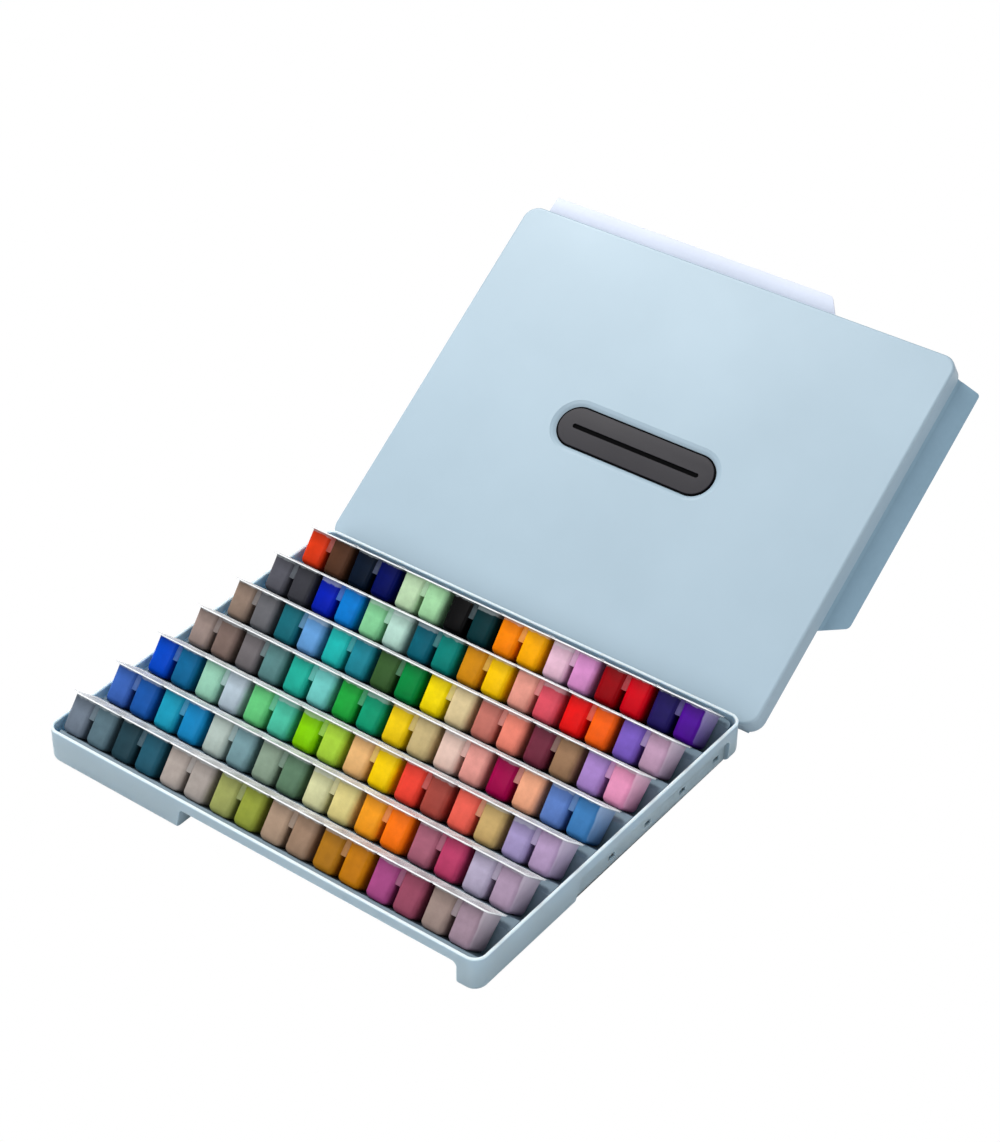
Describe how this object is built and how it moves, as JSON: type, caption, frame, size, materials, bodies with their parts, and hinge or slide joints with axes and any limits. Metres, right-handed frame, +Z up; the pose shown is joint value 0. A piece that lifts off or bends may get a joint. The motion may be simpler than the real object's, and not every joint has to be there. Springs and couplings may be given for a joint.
{
  "type": "gouache paint set box",
  "caption": "Shallow plastic case with leaning rows of sealed twin paint cups in a saw-tooth bed, and a lift-off lid with four hinged latch flaps leaning behind it.",
  "frame": {"origin": "middle of the flat underside of the case", "axes": "+X along the rows to the user's right, +Y from the front of the case to the lid behind it, +Z up"},
  "size_m": [0.3961, 0.5865, 0.1908],
  "materials": {
    "case": "satin",
    "bed": "matte",
    "cups": "translucent shell over coloured paint",
    "film": "clear film",
    "lid": "satin",
    "grip": "matte"
  },
  "bodies": {
    "case": {"case_shell": "case", "cup_bed": "bed"},
    "row_1": {"cups_row_1": "cups", "film_row_1": "film"},
    "row_2": {"cups_row_2": "cups", "film_row_2": "film"},
    "row_3": {"cups_row_3": "cups", "film_row_3": "film"},
    "row_4": {"cups_row_4": "cups", "film_row_4": "film"},
    "row_5": {"cups_row_5": "cups", "film_row_5": "film"},
    "row_6": {"cups_row_6": "cups", "film_row_6": "film"},
    "row_7": {"cups_row_7": "cups", "film_row_7": "film"},
    "lid": {"lid_shell": "lid", "grip_plate": "grip"},
    "far_latch": {"flap_far": "lid"},
    "right_latch": {"flap_right": "lid"},
    "near_latch": {"flap_near": "lid"},
    "left_latch": {"flap_left": "lid"}
  },
  "joints": [
    {"name": "row_1_lift", "type": "slide", "parent": "case", "child": "row_1", "axis": [0, 0.682, 0.7314], "range_m": [0, 0.035]},
    {"name": "row_2_lift", "type": "slide", "parent": "case", "child": "row_2", "axis": [0, 0.682, 0.7314], "range_m": [0, 0.035]},
    {"name": "row_3_lift", "type": "slide", "parent": "case", "child": "row_3", "axis": [0, 0.682, 0.7314], "range_m": [0, 0.035]},
    {"name": "row_4_lift", "type": "slide", "parent": "case", "child": "row_4", "axis": [0, 0.682, 0.7314], "range_m": [0, 0.035]},
    {"name": "row_5_lift", "type": "slide", "parent": "case", "child": "row_5", "axis": [0, 0.682, 0.7314], "range_m": [0, 0.035]},
    {"name": "row_6_lift", "type": "slide", "parent": "case", "child": "row_6", "axis": [0, 0.682, 0.7314], "range_m": [0, 0.035]},
    {"name": "row_7_lift", "type": "slide", "parent": "case", "child": "row_7", "axis": [0, 0.682, 0.7314], "range_m": [0, 0.035]},
    {"name": "lid_tilt", "type": "hinge", "parent": "case", "child": "lid", "pos_m": [-0.002, 0.1671, 0.00173], "axis": [1, 0, 0], "range_deg": [-34, 30]},
    {"name": "far_flap_hinge", "type": "hinge", "parent": "lid", "child": "far_latch", "pos_m": [-0.002, 0.41911, 0.17689], "axis": [1, 0, 0], "range_deg": [-180, 15]},
    {"name": "right_flap_hinge", "type": "hinge", "parent": "lid", "child": "right_latch", "pos_m": [0.18795, 0.29311, 0.08931], "axis": [0, -0.8211, -0.5707], "range_deg": [-135, 60]},
    {"name": "near_flap_hinge", "type": "hinge", "parent": "lid", "child": "near_latch", "pos_m": [-0.002, 0.1671, 0.00173], "axis": [-1, 0, 0], "range_deg": [-34.8, 130]},
    {"name": "left_flap_hinge", "type": "hinge", "parent": "lid", "child": "left_latch", "pos_m": [-0.19195, 0.29311, 0.08931], "axis": [0, 0.8211, 0.5707], "range_deg": [0, 195]}
  ]
}
